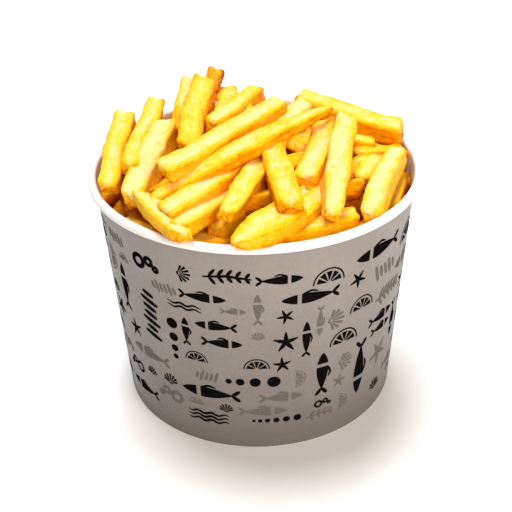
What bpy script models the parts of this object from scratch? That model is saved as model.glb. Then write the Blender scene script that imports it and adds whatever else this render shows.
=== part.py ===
"""French fries heaped in a round paperboard tub.

Metres, +Z up. The origin is the centre of the tub's foot, on the surface that it stands on, and -Y is
the front of the heap. There are three pieces: the wall with its rolled rim, the recessed base disc, and
the heap of fries, which is one body out to its uneven outline.
"""

import math
import random
from dataclasses import dataclass

import bmesh
import bpy
from mathutils import Quaternion, Vector

# The tub
TUB_HEIGHT = 0.087
RIM_RADIUS = 0.0585
FOOT_RADIUS = 0.0495
ROLL_RADIUS = 0.0015
ROLL_TURN = math.radians(295)
ROLL_STEPS = 7
PAPER = 0.0005
CLEARANCE = 0.0003
LAYER_STEP = PAPER + CLEARANCE
GROOVE_HEIGHT = 0.0042
GROOVE_HALF_WIDTH = 0.0009
GROOVE_DEPTH = 0.0002
FOLD_HEIGHT = 0.0062
BASE_UNDERSIDE = 0.0070
TUB_SEGMENTS = 64

# The heap
CORE_FLOOR = BASE_UNDERSIDE + PAPER + CLEARANCE
CORE_EDGE_HEIGHT = 0.076
CORE_TOP_HEIGHT = 0.088
CORE_SEGMENTS = 32
FRY_STATIONS = 4
FRY_CORNER = 0.2
FRY_WANDER = 0.0004
FRY_UNEVEN = 0.05
CUT_SLANT = 0.35
END_SHARE = 0.4
BED_LIFT = 0.005
BED_DOME = 0.012
BED_TILT = 0.08
BED_ROLL = 30
FILLER_COUNT = 14
FILLER_SEED = 11
FILLER_REACH = 0.038
FILLER_LENGTHS = (0.032, 0.048)
FILLER_SIDES = (0.0068, 0.0084)
FAN_COUNT = 8
FAN_START = math.radians(15)
FAN_SWEEP = math.radians(140)
FAN_TURN = 0.9
FAN_RISE = 0.22
FAN_REACH = 0.0495
FAN_LIFT = 0.004
FAN_LENGTHS = (0.034, 0.046)
GOLDEN_ANGLE = math.pi * (3 - math.sqrt(5))


@dataclass(frozen=True)
class Fry:
    """One cut stick of potato: its two ends, its cut sides, and how it bends and thins."""

    name: str
    foot: tuple
    head: tuple
    wide: float = 0.0080
    thick: float = 0.0074
    roll: float = 0.0
    bow: float = 0.0
    foot_size: float = 0.93
    head_size: float = 0.93


# The fries that show from the front, from the left side of the heap to the right
LEFT_FRIES = (
    Fry("left_outer", (-0.048, -0.023, 0.090), (-0.046, 0.022, 0.095), 0.0078, 0.0070, bow=0.001),
    Fry("left_second", (-0.042, -0.019, 0.095), (-0.036, 0.027, 0.098), 0.0068, 0.0070, roll=12),
    Fry("left_third", (-0.0415, -0.032, 0.089), (-0.031, 0.006, 0.097), 0.0086, 0.0086, roll=-16),
    Fry("left_wedge", (-0.040, -0.029, 0.091), (-0.025, -0.051, 0.088), 0.0076, 0.0058,
        foot_size=0.25, head_size=0.9),
    Fry("left_under", (-0.034, -0.034, 0.085), (-0.020, 0.004, 0.088), 0.0076, 0.0072),
    Fry("left_crumb", (-0.044, -0.030, 0.081), (-0.034, -0.042, 0.081), 0.0062, 0.0060),
)
BACK_FRIES = (
    Fry("back_left", (-0.027, -0.005, 0.097), (-0.024, 0.041, 0.101), 0.0070, 0.0070),
    Fry("back_tall", (-0.021, -0.014, 0.099), (-0.016, 0.036, 0.103), 0.0094, 0.0080, roll=8),
    Fry("browned_tip", (-0.017, 0.016, 0.096), (-0.013, 0.046, 0.103), 0.0066, 0.0046, roll=20),
    Fry("back_stub", (-0.028, 0.002, 0.094), (-0.027, 0.016, 0.101), 0.0060, 0.0060),
    Fry("back_end", (-0.009, 0.026, 0.097), (-0.010, 0.046, 0.094), 0.0080, 0.0066, roll=-8),
    Fry("back_between", (-0.015, 0.009, 0.092), (-0.009, 0.034, 0.091), 0.0074, 0.0070),
    Fry("back_centre", (-0.006, 0.026, 0.097), (0.004, -0.012, 0.094), 0.0070, 0.0068),
    Fry("pale_back", (0.019, 0.024, 0.099), (0.006, 0.002, 0.093), 0.0080, 0.0070),
)
TOP_FRIES = (
    Fry("top_diagonal", (-0.029, -0.032, 0.101), (0.009, 0.011, 0.105), 0.0086, 0.0080),
    Fry("top_behind", (-0.014, 0.000, 0.100), (0.002, 0.036, 0.098), 0.0068, 0.0066),
    Fry("long_diagonal", (-0.031, -0.034, 0.095), (0.026, 0.000, 0.104), 0.0088, 0.0070,
        bow=0.002, foot_size=0.45, head_size=0.55),
    Fry("under_diagonal", (-0.031, -0.036, 0.090), (0.004, -0.012, 0.093), 0.0072, 0.0064),
    Fry("middle_diagonal", (-0.0275, -0.046, 0.093), (0.000, -0.010, 0.092), 0.0084, 0.0070,
        head_size=0.5),
)
FRONT_FRIES = (
    Fry("front_left", (-0.024, -0.052, 0.0905), (-0.006, -0.022, 0.088), 0.0092, 0.0060,
        foot_size=0.8),
    Fry("front_centre", (-0.010, -0.050, 0.094), (0.003, -0.009, 0.092), 0.0082, 0.0076,
        foot_size=0.75),
    Fry("short_centre", (0.011, -0.048, 0.095), (0.004, -0.010, 0.098), 0.0090, 0.0074, roll=10,
        head_size=0.8),
    Fry("front_tip", (-0.0045, -0.0565, 0.0892), (0.018, -0.032, 0.089), 0.0092, 0.0056,
        foot_size=0.35, head_size=0.8),
    Fry("front_low", (-0.013, -0.044, 0.083), (0.003, -0.016, 0.086), 0.0080, 0.0076),
    Fry("front_right_low", (0.010, -0.047, 0.086), (0.025, -0.028, 0.089), 0.0080, 0.0068),
    Fry("rim_right", (0.008, -0.048, 0.083), (0.032, -0.038, 0.084), 0.0080, 0.0072),
    Fry("front_wall", (-0.034, -0.040, 0.079), (-0.004, -0.046, 0.080), 0.0078, 0.0072),
    Fry("centre_stub", (0.0155, -0.032, 0.088), (0.023, -0.024, 0.091), 0.0072, 0.0066),
)
RIGHT_FRIES = (
    Fry("right_of_centre", (0.017, -0.029, 0.095), (0.025, 0.013, 0.096), 0.0088, 0.0076, roll=-10),
    Fry("tall_right", (0.024, -0.047, 0.093), (0.032, 0.007, 0.098), 0.0092, 0.0086, roll=22,
        foot_size=0.55),
    Fry("far_right", (0.018, 0.028, 0.098), (0.053, 0.009, 0.092), 0.0096, 0.0084, roll=10,
        head_size=1.1),
    Fry("right_behind", (0.034, 0.003, 0.088), (0.051, 0.010, 0.085), 0.0078, 0.0074),
    Fry("right_stub", (0.039, -0.017, 0.089), (0.046, 0.001, 0.088), 0.0080, 0.0080),
    Fry("right_front", (0.0355, -0.0415, 0.089), (0.049, -0.004, 0.088), 0.0090, 0.0076, roll=12, bow=0.0015),
    Fry("right_under", (0.022, -0.020, 0.088), (0.040, -0.024, 0.083), 0.0074, 0.0072),
    Fry("right_wall", (0.045, -0.024, 0.080), (0.049, -0.002, 0.080), 0.0070, 0.0066),
)


def sleeve_radius(height):
    """The outside radius of the straight tapered wall at a height, with its pressed groove."""
    run = height / (TUB_HEIGHT - ROLL_RADIUS)
    neck_radius = RIM_RADIUS - 2 * ROLL_RADIUS + PAPER
    groove = max(0.0, 1 - abs(height - GROOVE_HEIGHT) / GROOVE_HALF_WIDTH)
    return FOOT_RADIUS + (neck_radius - FOOT_RADIUS) * run - GROOVE_DEPTH * groove


def layer(heights, step):
    """The middle of a sheet of the wall's paper, `step` sheets in from the outer one."""
    inset = PAPER / 2 + step * LAYER_STEP
    return [(sleeve_radius(height) - inset, height) for height in heights]


def groove_heights():
    """The three heights at which the pressed groove bends the paper."""
    return [GROOVE_HEIGHT + side * GROOVE_HALF_WIDTH for side in (-1, 0, 1)]


def thicken(path):
    """The closed outline, half the paper's thickness out on both sides of a path, with mitred bends."""
    points = [Vector(point) for point in path]
    left = []
    right = []
    for index, point in enumerate(points):
        before = (point - points[index - 1]).normalized() if index else None
        after = (points[index + 1] - point).normalized() if index + 1 < len(points) else None
        normals = [Vector((-way.y, way.x)) for way in (before, after) if way]
        normal = sum(normals, Vector((0, 0))).normalized()
        offset = normal * (PAPER / 2 / normal.dot(normals[0]))
        left.append(point + offset)
        right.append(point - offset)
    return left + right[::-1]


def turn(mesh, outline, segments, is_closed):
    """Turns an outline of (radius, height) about Z. A point on the axis stays a single vertex."""
    rings = []
    for radius, height in outline:
        if radius < 1e-6:
            rings.append([mesh.verts.new((0, 0, height))])
            continue
        rings.append([
            mesh.verts.new((radius * math.cos(angle), radius * math.sin(angle), height))
            for angle in (2 * math.pi * step / segments for step in range(segments))
        ])
    pairs = list(zip(rings, rings[1:]))
    if is_closed:
        pairs.append((rings[-1], rings[0]))
    for lower, upper in pairs:
        for step in range(segments):
            following = (step + 1) % segments
            corners = [lower[step % len(lower)], lower[following % len(lower)],
                       upper[following % len(upper)], upper[step % len(upper)]]
            mesh.faces.new(list(dict.fromkeys(corners)))


def finish_object(name, mesh, material):
    """Makes the object of a bmesh, with its faces turned outwards and its round faces smooth."""
    bmesh.ops.recalc_face_normals(mesh, faces=mesh.faces)
    data = bpy.data.meshes.new(name)
    mesh.to_mesh(data)
    mesh.free()
    data.shade_smooth()
    data.set_sharp_from_angle(angle=math.radians(35))
    if material:
        data.materials.append(material)
    made = bpy.data.objects.new(name, data)
    bpy.context.scene.collection.objects.link(made)
    return made


def finish_of(name, colour, roughness):
    """A plain matte material."""
    material = bpy.data.materials.new(name)
    material.use_nodes = True
    shader = material.node_tree.nodes["Principled BSDF"]
    shader.inputs["Base Color"].default_value = (*colour, 1)
    shader.inputs["Roughness"].default_value = roughness
    shader.inputs["Metallic"].default_value = 0
    return material


def rim_roll():
    """The paper's middle line round the rolled rim, from the top of the wall to its tucked end."""
    radius = ROLL_RADIUS - PAPER / 2
    centre = (RIM_RADIUS - ROLL_RADIUS, TUB_HEIGHT - ROLL_RADIUS)
    points = []
    for step in range(ROLL_STEPS + 1):
        angle = math.pi - ROLL_TURN * step / ROLL_STEPS
        points.append((centre[0] + radius * math.cos(angle), centre[1] + radius * math.sin(angle)))
    return points


def make_wall(material):
    """The tub's wall: its inner fold, flat foot, tapered sleeve and rolled rim, one sheet of paper."""
    inner_fold = layer([FOLD_HEIGHT, *reversed(groove_heights()), PAPER / 2], 2)
    sleeve = layer([PAPER / 2, *groove_heights()], 0)
    mesh = bmesh.new()
    turn(mesh, thicken(inner_fold + sleeve + rim_roll()), TUB_SEGMENTS, is_closed=True)
    return finish_object("tub_wall", mesh, material)


def make_base(material):
    """The base: a flat disc over the foot, with a skirt held between the wall and its inner fold."""
    skirt_foot = PAPER + CLEARANCE
    skirt_heights = [skirt_foot, *groove_heights(), BASE_UNDERSIDE + PAPER]
    outer = layer(skirt_heights, 1)
    outside = [(radius + PAPER / 2, height) for radius, height in outer]
    inside = [(radius - PAPER / 2, height) for radius, height in outer[:-1]]
    corner = (inside[-1][0], BASE_UNDERSIDE)
    outline = [(0, BASE_UNDERSIDE), corner, *reversed(inside), *outside, (0, BASE_UNDERSIDE + PAPER)]
    mesh = bmesh.new()
    turn(mesh, outline, TUB_SEGMENTS, is_closed=False)
    return finish_object("tub_base", mesh, material)


def inner_radius(height):
    """How far the heap may reach at a height inside the wall."""
    return sleeve_radius(height) - PAPER - 2 * CLEARANCE


def make_core():
    """The packed body of the heap: the tub's inside up to a low dome under the fries that show."""
    wall_heights = [CORE_FLOOR, CORE_EDGE_HEIGHT]
    outline = [(0, CORE_FLOOR), *((inner_radius(height), height) for height in wall_heights)]
    edge_radius = outline[-1][0]
    for share in (0.8, 0.5, 0.0):
        rise = (CORE_TOP_HEIGHT - CORE_EDGE_HEIGHT) * math.cos(share * math.pi / 2)
        outline.append((edge_radius * share, CORE_EDGE_HEIGHT + rise))
    mesh = bmesh.new()
    turn(mesh, outline, CORE_SEGMENTS, is_closed=False)
    return finish_object("fries", mesh, None)


def held_in(point):
    """Moves a point of a fry in from the wall, or up on to the rim where it lies across it."""
    reach = math.hypot(point.x, point.y)
    rim_top = TUB_HEIGHT + CLEARANCE
    most = inner_radius(min(point.z, TUB_HEIGHT)) if point.z < rim_top else RIM_RADIUS
    if reach > most:
        point = Vector((point.x * most / reach, point.y * most / reach, point.z))
    return point


def section(fry, draw):
    """The corners of a fry's cut section: a square with its four edges cut off, a little uneven."""
    half_wide = fry.wide / 2 * draw.uniform(1 - FRY_UNEVEN, 1 + FRY_UNEVEN)
    half_thick = fry.thick / 2 * draw.uniform(1 - FRY_UNEVEN, 1 + FRY_UNEVEN)
    short = 1 - 2 * FRY_CORNER
    corners = [(1, short), (short, 1), (-short, 1), (-1, short),
               (-1, -short), (-short, -1), (short, -1), (1, -short)]
    return [Vector((half_wide * across, half_thick * up)) for across, up in corners]


def girth(fry, run):
    """How full a fry's section is at a share of its length: it thins, or flares, towards each end."""
    from_foot = fry.foot_size + (1 - fry.foot_size) * min(1, run / END_SHARE)
    from_head = fry.head_size + (1 - fry.head_size) * min(1, (1 - run) / END_SHARE)
    return from_foot * from_head


def make_fry(fry):
    """One fry: sections from foot to head, bent up by its bow, with slanted cut ends."""
    draw = random.Random(fry.name)
    foot = Vector(fry.foot)
    head = Vector(fry.head)
    along = (head - foot).normalized()
    across = along.cross(Vector((0, 0, 1))).normalized()
    twist = Quaternion(along, math.radians(fry.roll))
    across = twist @ across
    up = across.cross(along)
    slants = {end: draw.uniform(-CUT_SLANT, CUT_SLANT) for end in (0, FRY_STATIONS - 1)}
    mesh = bmesh.new()
    rings = []
    for station in range(FRY_STATIONS):
        run = station / (FRY_STATIONS - 1)
        size = girth(fry, run)
        wander = across * draw.uniform(-FRY_WANDER, FRY_WANDER)
        centre = foot.lerp(head, run) + up * fry.bow * math.sin(math.pi * run) + wander
        slant = slants.get(station, 0)
        ring = []
        for corner in section(fry, draw):
            spot = centre + (across * corner.x + up * corner.y) * size + along * corner.x * slant
            ring.append(mesh.verts.new(held_in(spot)))
        rings.append(ring)
    for lower, upper in zip(rings, rings[1:]):
        for index in range(len(lower)):
            following = (index + 1) % len(lower)
            mesh.faces.new((lower[index], lower[following], upper[following], upper[index]))
    mesh.faces.new(rings[0])
    mesh.faces.new(rings[-1])
    bmesh.ops.triangulate(mesh, faces=mesh.faces)
    return finish_object(fry.name, mesh, None)


def heap_height(reach):
    """The height of the bed of fries under the ones that show, at a distance from the tub's axis."""
    return CORE_EDGE_HEIGHT + BED_LIFT + BED_DOME * math.cos(min(1, reach / RIM_RADIUS) * math.pi / 2)


def rule_fry(name, draw, middle, way, lengths):
    """A fry of the bed about a middle point, with its length and cut sides drawn."""
    half = way * draw.uniform(*lengths) / 2
    wide = draw.uniform(*FILLER_SIDES)
    thick = draw.uniform(*FILLER_SIDES)
    roll = draw.uniform(-BED_ROLL, BED_ROLL)
    return Fry(name, tuple(middle - half), tuple(middle + half), wide, thick, roll)


def bed_fries():
    """The rest of the bed: fries spread by the golden angle, then a fan round the back of the wall."""
    draw = random.Random(FILLER_SEED)
    fries = []
    for index in range(FILLER_COUNT):
        reach = FILLER_REACH * math.sqrt((index + 0.5) / FILLER_COUNT)
        angle = index * GOLDEN_ANGLE
        heading = draw.uniform(0, math.pi)
        middle = Vector((reach * math.cos(angle), reach * math.sin(angle), heap_height(reach)))
        way = Vector((math.cos(heading), math.sin(heading), draw.uniform(-BED_TILT, BED_TILT)))
        fries.append(rule_fry(f"filler_{index}", draw, middle, way, FILLER_LENGTHS))
    for index in range(FAN_COUNT):
        angle = FAN_START + FAN_SWEEP * (index + draw.uniform(0.3, 0.7)) / FAN_COUNT
        heading = angle + math.pi + draw.uniform(-FAN_TURN, FAN_TURN)
        way = Vector((math.cos(heading), math.sin(heading), FAN_RISE))
        foot = Vector((FAN_REACH * math.cos(angle), FAN_REACH * math.sin(angle), CORE_EDGE_HEIGHT + FAN_LIFT))
        fries.append(rule_fry(f"fan_{index}", draw, foot + way * FAN_LENGTHS[0] / 2, way, FAN_LENGTHS))
    return fries


def make_keep_out():
    """The space that the heap stays out of: a thick sleeve just inside the wall and over its rim."""
    heights = [0, TUB_HEIGHT - ROLL_RADIUS]
    inner = [(inner_radius(height) + CLEARANCE, height) for height in heights]
    roll_centre = (RIM_RADIUS - ROLL_RADIUS, TUB_HEIGHT - ROLL_RADIUS)
    around = ROLL_RADIUS + CLEARANCE
    arc = []
    for step in range(ROLL_STEPS + 1):
        angle = math.pi * (1 - step / ROLL_STEPS)
        arc.append((roll_centre[0] + around * math.cos(angle), roll_centre[1] + around * math.sin(angle)))
    outer = [(2 * RIM_RADIUS, roll_centre[1]), (2 * RIM_RADIUS, 0)]
    mesh = bmesh.new()
    turn(mesh, inner + arc[1:] + outer, TUB_SEGMENTS, is_closed=True)
    made = finish_object("keep_out", mesh, None)
    made.hide_render = True
    made.display_type = "WIRE"
    return made


def combine(target, operation, helper):
    """Applies one Boolean to an object with the watertight solver."""
    step = target.modifiers.new(operation.lower(), "BOOLEAN")
    step.operation = operation
    step.solver = "MANIFOLD"
    if isinstance(helper, bpy.types.Collection):
        step.operand_type = "COLLECTION"
        step.collection = helper
    else:
        step.object = helper
    with bpy.context.temp_override(object=target, active_object=target):
        bpy.ops.object.modifier_apply(modifier=step.name)


def signed_volume(faces):
    """The volume that a closed group of triangles holds, negative round a hollow."""
    total = 0.0
    for face in faces:
        first, second, third = (vertex.co for vertex in face.verts)
        total += first.dot(second.cross(third)) / 6
    return total


def keep_largest_body(target):
    """Drops loose scraps and fills sealed hollows: only the surface round the largest volume stays."""
    mesh = bmesh.new()
    mesh.from_mesh(target.data)
    bmesh.ops.triangulate(mesh, faces=mesh.faces)
    unseen = set(mesh.faces)
    groups = []
    while unseen:
        group = {unseen.pop()}
        edge_of_group = list(group)
        while edge_of_group:
            face = edge_of_group.pop()
            near = {other for edge in face.edges for other in edge.link_faces} & unseen
            unseen -= near
            group |= near
            edge_of_group.extend(near)
        groups.append(group)
    largest = max(groups, key=signed_volume)
    for group in groups:
        if group is not largest:
            bmesh.ops.delete(mesh, geom=list(group), context="FACES")
    mesh.to_mesh(target.data)
    mesh.free()


def make_fries(material):
    """The heap as one body: the core with every fry of the bed and of the top fused on."""
    heap = make_core()
    shown = LEFT_FRIES + BACK_FRIES + TOP_FRIES + FRONT_FRIES + RIGHT_FRIES
    pieces = bpy.data.collections.new("heap_pieces")
    bpy.context.scene.collection.children.link(pieces)
    for fry in [*shown, *bed_fries()]:
        made = make_fry(fry)
        bpy.context.scene.collection.objects.unlink(made)
        pieces.objects.link(made)
    combine(heap, "UNION", pieces)
    keep_out = make_keep_out()
    combine(heap, "DIFFERENCE", keep_out)
    for helper in [*pieces.objects, keep_out]:
        bpy.data.objects.remove(helper)
    bpy.data.collections.remove(pieces)
    keep_largest_body(heap)
    heap.data.materials.clear()
    heap.data.materials.append(material)
    heap.data.shade_flat()
    return heap


def main():
    """Builds the three pieces."""
    for thing in list(bpy.data.objects):
        bpy.data.objects.remove(thing)
    board = finish_of("white_paperboard", (0.62, 0.58, 0.53), 0.6)
    base_board = finish_of("base_paperboard", (0.70, 0.67, 0.62), 0.7)
    potato = finish_of("fried_potato", (0.90, 0.55, 0.10), 0.55)
    make_wall(board)
    make_base(base_board)
    make_fries(potato)


main()
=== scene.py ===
"""Looks of a paperboard tub heaped with french fries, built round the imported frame. Metres, +Z up."""

import logging
import math
import random
from dataclasses import dataclass
from enum import Enum
from typing import Iterable, Sequence

import bpy
import numpy as np
from mathutils import Matrix, Vector


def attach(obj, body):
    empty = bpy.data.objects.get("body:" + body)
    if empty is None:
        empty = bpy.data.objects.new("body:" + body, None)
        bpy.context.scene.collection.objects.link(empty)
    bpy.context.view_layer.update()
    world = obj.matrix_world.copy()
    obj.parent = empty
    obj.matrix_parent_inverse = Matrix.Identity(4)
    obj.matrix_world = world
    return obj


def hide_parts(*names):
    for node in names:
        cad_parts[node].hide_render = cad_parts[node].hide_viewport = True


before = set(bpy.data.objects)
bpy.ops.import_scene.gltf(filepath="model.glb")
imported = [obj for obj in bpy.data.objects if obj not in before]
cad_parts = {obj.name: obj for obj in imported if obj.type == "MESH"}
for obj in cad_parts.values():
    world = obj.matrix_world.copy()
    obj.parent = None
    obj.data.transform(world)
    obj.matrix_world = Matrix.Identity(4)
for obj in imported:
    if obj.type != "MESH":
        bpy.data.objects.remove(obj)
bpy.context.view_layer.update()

LOG = logging.getLogger("fries_in_tub")
BODY = "root"
GOLDEN_ANGLE = math.pi * (3 - math.sqrt(5))
MM = 1000.0
TINY = 1e-9
Colour = tuple[float, float, float]
Point = tuple[float, float, float]
Spot = tuple[float, float]
Range = tuple[float, float]
Pair = tuple[float, float]
Face = tuple[int, ...]
Material = bpy.types.Material
Node = bpy.types.Node
Socket = bpy.types.NodeSocket


class Slot(Enum):
    """The record's material slots that the scene's own pieces take."""

    PRINTED_BOARD = "printed_paperboard"
    POTATO = "fried_potato"


class Ink(Enum):
    """The two inks of the tub's print."""

    BLACK = "black"
    GREY = "grey"


class Graph:
    """A material's node graph, with short ways to add the nodes that the finishes share."""

    NOISE_SPAN: Range = (0.3, 0.7)

    def __init__(self, name: str) -> None:
        """Starts a material that holds one Principled shader.

        Args:
            name: the material's name.
        """
        self.material = bpy.data.materials.new(name)
        self.material.use_nodes = True
        self.tree = self.material.node_tree
        self.shader = self.tree.nodes["Principled BSDF"]

    def add(self, kind: str, **settings: object) -> Node:
        """Adds a node.

        Args:
            kind: the node's type.
            settings: its properties.

        Returns:
            The node.
        """
        node = self.tree.nodes.new(kind)
        for key, value in settings.items():
            setattr(node, key, value)
        return node

    def put(self, target: Socket, value: object) -> None:
        """Links a socket to another one, or sets it to a plain value.

        Args:
            target: the socket.
            value: a socket, a number, or a colour without its alpha.
        """
        if isinstance(value, Socket):
            self.tree.links.new(value, target)
        elif isinstance(value, tuple) and target.type == "RGBA":
            target.default_value = (*value, 1.0)
        else:
            target.default_value = value

    def surface(self, values: dict[str, object]) -> None:
        """Puts values or sockets into the shader's sockets, by their names."""
        for key, value in values.items():
            self.put(self.shader.inputs[key], value)

    def attribute(self, name: str, output: str) -> Socket:
        """A named attribute of the mesh, by one of its outputs."""
        return self.add("ShaderNodeAttribute", attribute_name=name).outputs[output]

    def place(self) -> Socket:
        """The place on the object, in its own frame."""
        return self.add("ShaderNodeTexCoord").outputs["Object"]

    def noise(self, vector: Socket, scale: float, detail: float = 3.0, roughness: float = 0.55) -> Socket:
        """Fractal noise from 0 to 1.

        Args:
            vector: where the noise is read.
            scale: how many features a unit of the vector holds.
            detail: the number of finer layers.
            roughness: how strong each finer layer is.

        Returns:
            The noise.
        """
        node = self.add("ShaderNodeTexNoise")
        self.put(node.inputs["Vector"], vector)
        for key, number in (("Scale", scale), ("Detail", detail), ("Roughness", roughness)):
            self.put(node.inputs[key], number)
        return node.outputs["Fac"]

    def cells(self, vector: Socket, scale: float, feature: str) -> Socket:
        """The distance to the middle of the nearest of many scattered cells.

        Args:
            vector: where it is read.
            scale: how many cells a unit of the vector holds.
            feature: the kind of distance.

        Returns:
            The distance.
        """
        node = self.add("ShaderNodeTexVoronoi", feature=feature)
        self.put(node.inputs["Vector"], vector)
        self.put(node.inputs["Scale"], scale)
        return node.outputs["Distance"]

    def math(self, operation: str, first: object, second: object) -> Socket:
        """A sum on two values.

        Args:
            operation: the kind of sum.
            first: a number or a socket.
            second: a number or a socket.

        Returns:
            The result.
        """
        node = self.add("ShaderNodeMath", operation=operation)
        self.put(node.inputs[0], first)
        self.put(node.inputs[1], second)
        return node.outputs[0]

    def total(self, first: Socket, *others: object) -> Socket:
        """Adds values up.

        Args:
            first: the first of them.
            others: the others, each a number or a socket.

        Returns:
            Their total.
        """
        for other in others:
            first = self.math("ADD", first, other)
        return first

    def spread(self, value: Socket, span: Range, target: Range = (0.0, 1.0)) -> Socket:
        """Maps a value from one range to another, held within it.

        Args:
            value: what is mapped.
            span: the range that it comes from.
            target: the range that it goes to.

        Returns:
            The mapped value.
        """
        node = self.add("ShaderNodeMapRange", clamp=True)
        self.put(node.inputs["Value"], value)
        for key, number in zip(("From Min", "From Max", "To Min", "To Max"), (*span, *target)):
            self.put(node.inputs[key], number)
        return node.outputs["Result"]

    def ramp(self, value: Socket, stops: Sequence[tuple[float, Colour]]) -> Socket:
        """A colour ramp.

        Args:
            value: what the ramp reads.
            stops: places from 0 to 1, each with its linear colour.

        Returns:
            The colour.
        """
        node = self.add("ShaderNodeValToRGB")
        elements = node.color_ramp.elements
        while len(elements) < len(stops):
            elements.new(0.5)
        for element, (place, colour) in zip(elements, stops):
            element.position = place
            element.color = (*colour, 1.0)
        self.put(node.inputs["Fac"], value)
        return node.outputs["Color"]

    def blend(self, share: Socket, first: Colour, second: Colour) -> Socket:
        """A mix of two colours.

        Args:
            share: the share of the second colour.
            first: the first colour.
            second: the second colour.

        Returns:
            The mixed colour.
        """
        node = self.add("ShaderNodeMix", data_type="RGBA")
        self.put(node.inputs["Factor"], share)
        for key, colour in (("A", first), ("B", second)):
            node.inputs[key].default_value = (*colour, 1.0)
        return node.outputs["Result"]

    def bump(self, height: Socket, distance: float, strength: float) -> None:
        """Gives the shader a fine relief.

        Args:
            height: the relief, from 0 to 1.
            distance: how high 1 stands.
            strength: how much of the relief shows.
        """
        node = self.add("ShaderNodeBump")
        for key, value in (("Strength", strength), ("Distance", distance), ("Height", height)):
            self.put(node.inputs[key], value)
        self.put(self.shader.inputs["Normal"], node.outputs["Normal"])


@dataclass(frozen=True)
class PotatoFinish:
    """A fried potato crust: pale to golden, browner at its edges and ends, with a thin film of oil.

    Its scales are features for each millimetre of the fry's own space.
    """

    name: str = "potato_crust"
    pale: Colour = (0.98, 0.68, 0.31)
    yellow: Colour = (0.98, 0.58, 0.03)
    golden: Colour = (0.97, 0.5, 0.004)
    orange: Colour = (0.9, 0.26, 0.0005)
    brown: Colour = (0.36, 0.065, 0.0005)
    stops: tuple[float, ...] = (0.0, 0.3, 0.52, 0.78, 1.0)
    ground: float = 0.06
    streak: float = 0.38
    patch_scale: float = 0.28
    patch_shift: Range = (-0.14, 0.16)
    mottle_scale: float = 1.25
    mottle_roughness: float = 0.65
    mottle_shift: Range = (-0.2, 0.22)
    speck_scale: float = 1.4
    speck_span: Range = (0.05, 0.26)
    speck_tone: float = 0.14
    speck_area_scale: float = 0.3
    speck_area_span: Range = (0.5, 0.66)
    grain_scale: float = 1.9
    grain_roughness: float = 0.7
    shine: Range = (0.52, 0.72)
    oil: float = 0.2
    gloss: Colour = (1.0, 0.75, 0.08)
    glow: float = 0.06
    glow_reach: Colour = (1.0, 0.7, 0.12)
    glow_depth: float = 0.0012
    blister_scale: float = 0.85
    blister_span: Range = (0.1, 0.7)
    blister_share: float = 0.5
    relief_height: float = 0.00022
    relief_share: float = 0.7

    def make(self) -> Material:
        """Builds the crust from the fry's own space and its browning, which also carries painted shade.

        Returns:
            The material.
        """
        graph = Graph(self.name)
        space = graph.attribute("fry_space", "Vector")
        drawn_out = graph.add("ShaderNodeVectorMath", operation="MULTIPLY")
        graph.put(drawn_out.inputs[0], space)
        graph.put(drawn_out.inputs[1], (self.streak, 1.0, 1.0))
        along = drawn_out.outputs[0]
        patches = graph.noise(along, self.patch_scale, 2.0)
        mottle = graph.noise(along, self.mottle_scale, 4.0, self.mottle_roughness)
        specks = graph.cells(space, self.speck_scale, "F1")
        dots = graph.spread(specks, self.speck_span, (self.speck_tone, 0.0))
        areas = graph.spread(graph.noise(space, self.speck_area_scale, 1.0), self.speck_area_span)
        # The browning attribute also carries painted shade on lower faces and on the lower fries of the heap.
        tone = graph.total(graph.attribute("browning_and_painted_shade", "Fac"),
                           graph.spread(patches, graph.NOISE_SPAN, self.patch_shift),
                           graph.spread(mottle, graph.NOISE_SPAN, self.mottle_shift),
                           self.ground, graph.math("MULTIPLY", dots, areas))
        colours = (self.pale, self.yellow, self.golden, self.orange, self.brown)
        grain = graph.noise(space, self.grain_scale, 4.0, self.grain_roughness)
        graph.surface({"Base Color": graph.ramp(tone, tuple(zip(self.stops, colours))),
                       "Roughness": graph.spread(grain, graph.NOISE_SPAN, self.shine),
                       "Specular IOR Level": self.oil, "Specular Tint": self.gloss,
                       "Subsurface Weight": self.glow, "Subsurface Radius": self.glow_reach,
                       "Subsurface Scale": self.glow_depth})
        blisters = graph.cells(space, self.blister_scale, "SMOOTH_F1")
        domes = graph.spread(blisters, self.blister_span, (1.0, 0.0))
        raised = graph.total(grain, graph.math("MULTIPLY", domes, self.blister_share))
        graph.bump(raised, self.relief_height, self.relief_share)
        return graph.material


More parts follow.
